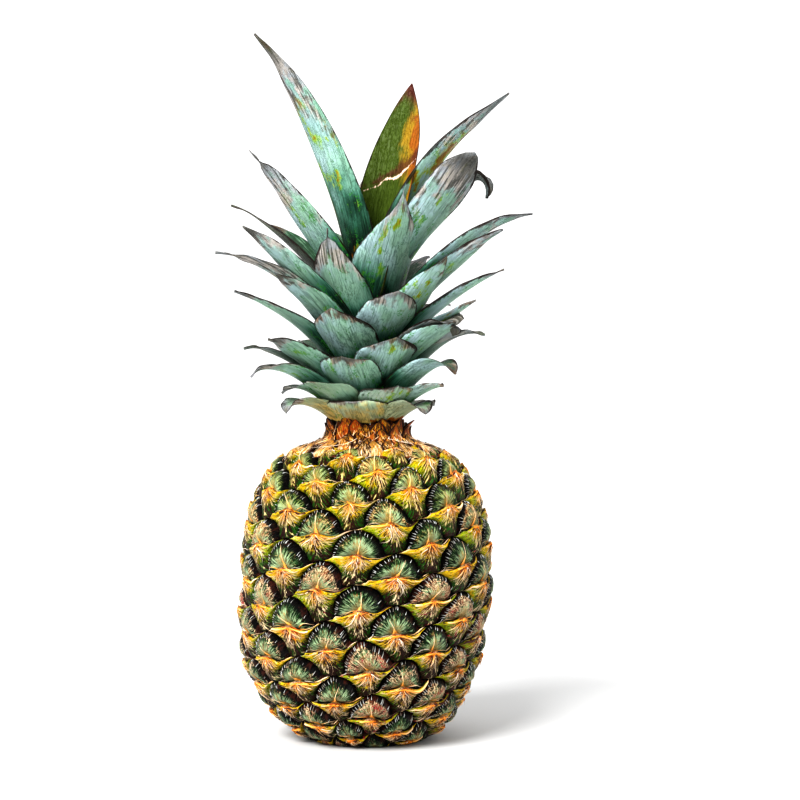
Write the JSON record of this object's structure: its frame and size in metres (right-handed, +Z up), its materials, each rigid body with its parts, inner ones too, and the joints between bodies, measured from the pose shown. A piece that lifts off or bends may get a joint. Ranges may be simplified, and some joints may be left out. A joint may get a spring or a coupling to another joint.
{
  "type": "pineapple",
  "caption": "Whole ripe pineapple with its leafy crown, standing on its trimmed base.",
  "frame": {"origin": "middle of the stalk's cut face, on the surface that the fruit stands on", "axes": "+Z up through the crown, -Y towards the front, +X to the right as seen from the front"},
  "size_m": [0.1527, 0.1267, 0.3475],
  "materials": {
    "rind": "knobbly rind: green eyes over yellow and orange bracts, slightly waxy",
    "cut_stalk": "dry fibrous cut",
    "dry_bracts": "dry, papery, orange brown",
    "leaves": "stiff leaves with a waxy blue-green bloom and dry tips"
  },
  "bodies": {
    "root": {"fruit": "rind", "cut_stalk": "cut_stalk", "collar_bracts": "dry_bracts", "crown": "leaves"}
  },
  "joints": []
}
